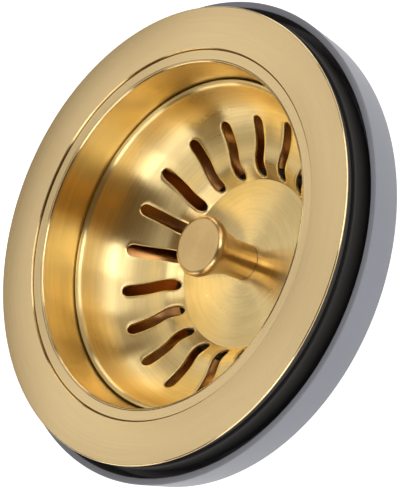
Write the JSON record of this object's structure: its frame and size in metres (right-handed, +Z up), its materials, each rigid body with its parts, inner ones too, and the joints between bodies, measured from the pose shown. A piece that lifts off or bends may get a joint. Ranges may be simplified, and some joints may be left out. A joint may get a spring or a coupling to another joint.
{
  "type": "sink basket strainer waste",
  "caption": "Round kitchen sink waste with a flanged bowl, a plastic clamping body and a lift-out strainer basket with a knob and a rubber stopper.",
  "frame": {"origin": "centre of the outlet's lower end, on the drain's axis", "axes": "+Z up along the drain's axis, from the outlet to the flange; X and Y run through the webs of the outlet"},
  "size_m": [0.1182, 0.1182, 0.0465],
  "materials": {
    "flange_gold": "satin brushed gold coating on stainless steel sheet",
    "basket_gold": "circular brushed gold coating on stainless steel sheet",
    "knob_gold": "satin gold coating on a turned knob",
    "gasket_rubber": "smooth black rubber",
    "washer_rubber": "matt black rubber",
    "stopper_rubber": "smooth black rubber",
    "body_plastic": "satin grey moulded polypropylene",
    "fastener_steel": "turned stainless steel",
    "nut_brass": "plain machined brass"
  },
  "bodies": {
    "root": {"flange_bowl": "flange_gold", "flange_seal": "washer_rubber", "body_gasket": "gasket_rubber", "drain_body": "body_plastic", "insert_nut": "nut_brass", "screw_washer": "fastener_steel", "clamp_screw": "fastener_steel"},
    "catch": {"catch_pin": "fastener_steel", "catch_ring": "washer_rubber"},
    "basket": {"basket": "basket_gold", "knob": "knob_gold", "knob_stud": "fastener_steel", "backing_plate": "fastener_steel", "stopper_seal": "stopper_rubber"}
  },
  "joints": [
    {"name": "basket_lift", "type": "slide", "parent": "root", "child": "catch", "axis": [0, 0, 1], "range_m": [0, 0.055]},
    {"name": "basket_turn", "type": "hinge", "parent": "catch", "child": "basket", "pos_m": [0, 0, 0.0176], "axis": [0, 0, 1], "continuous": true}
  ]
}
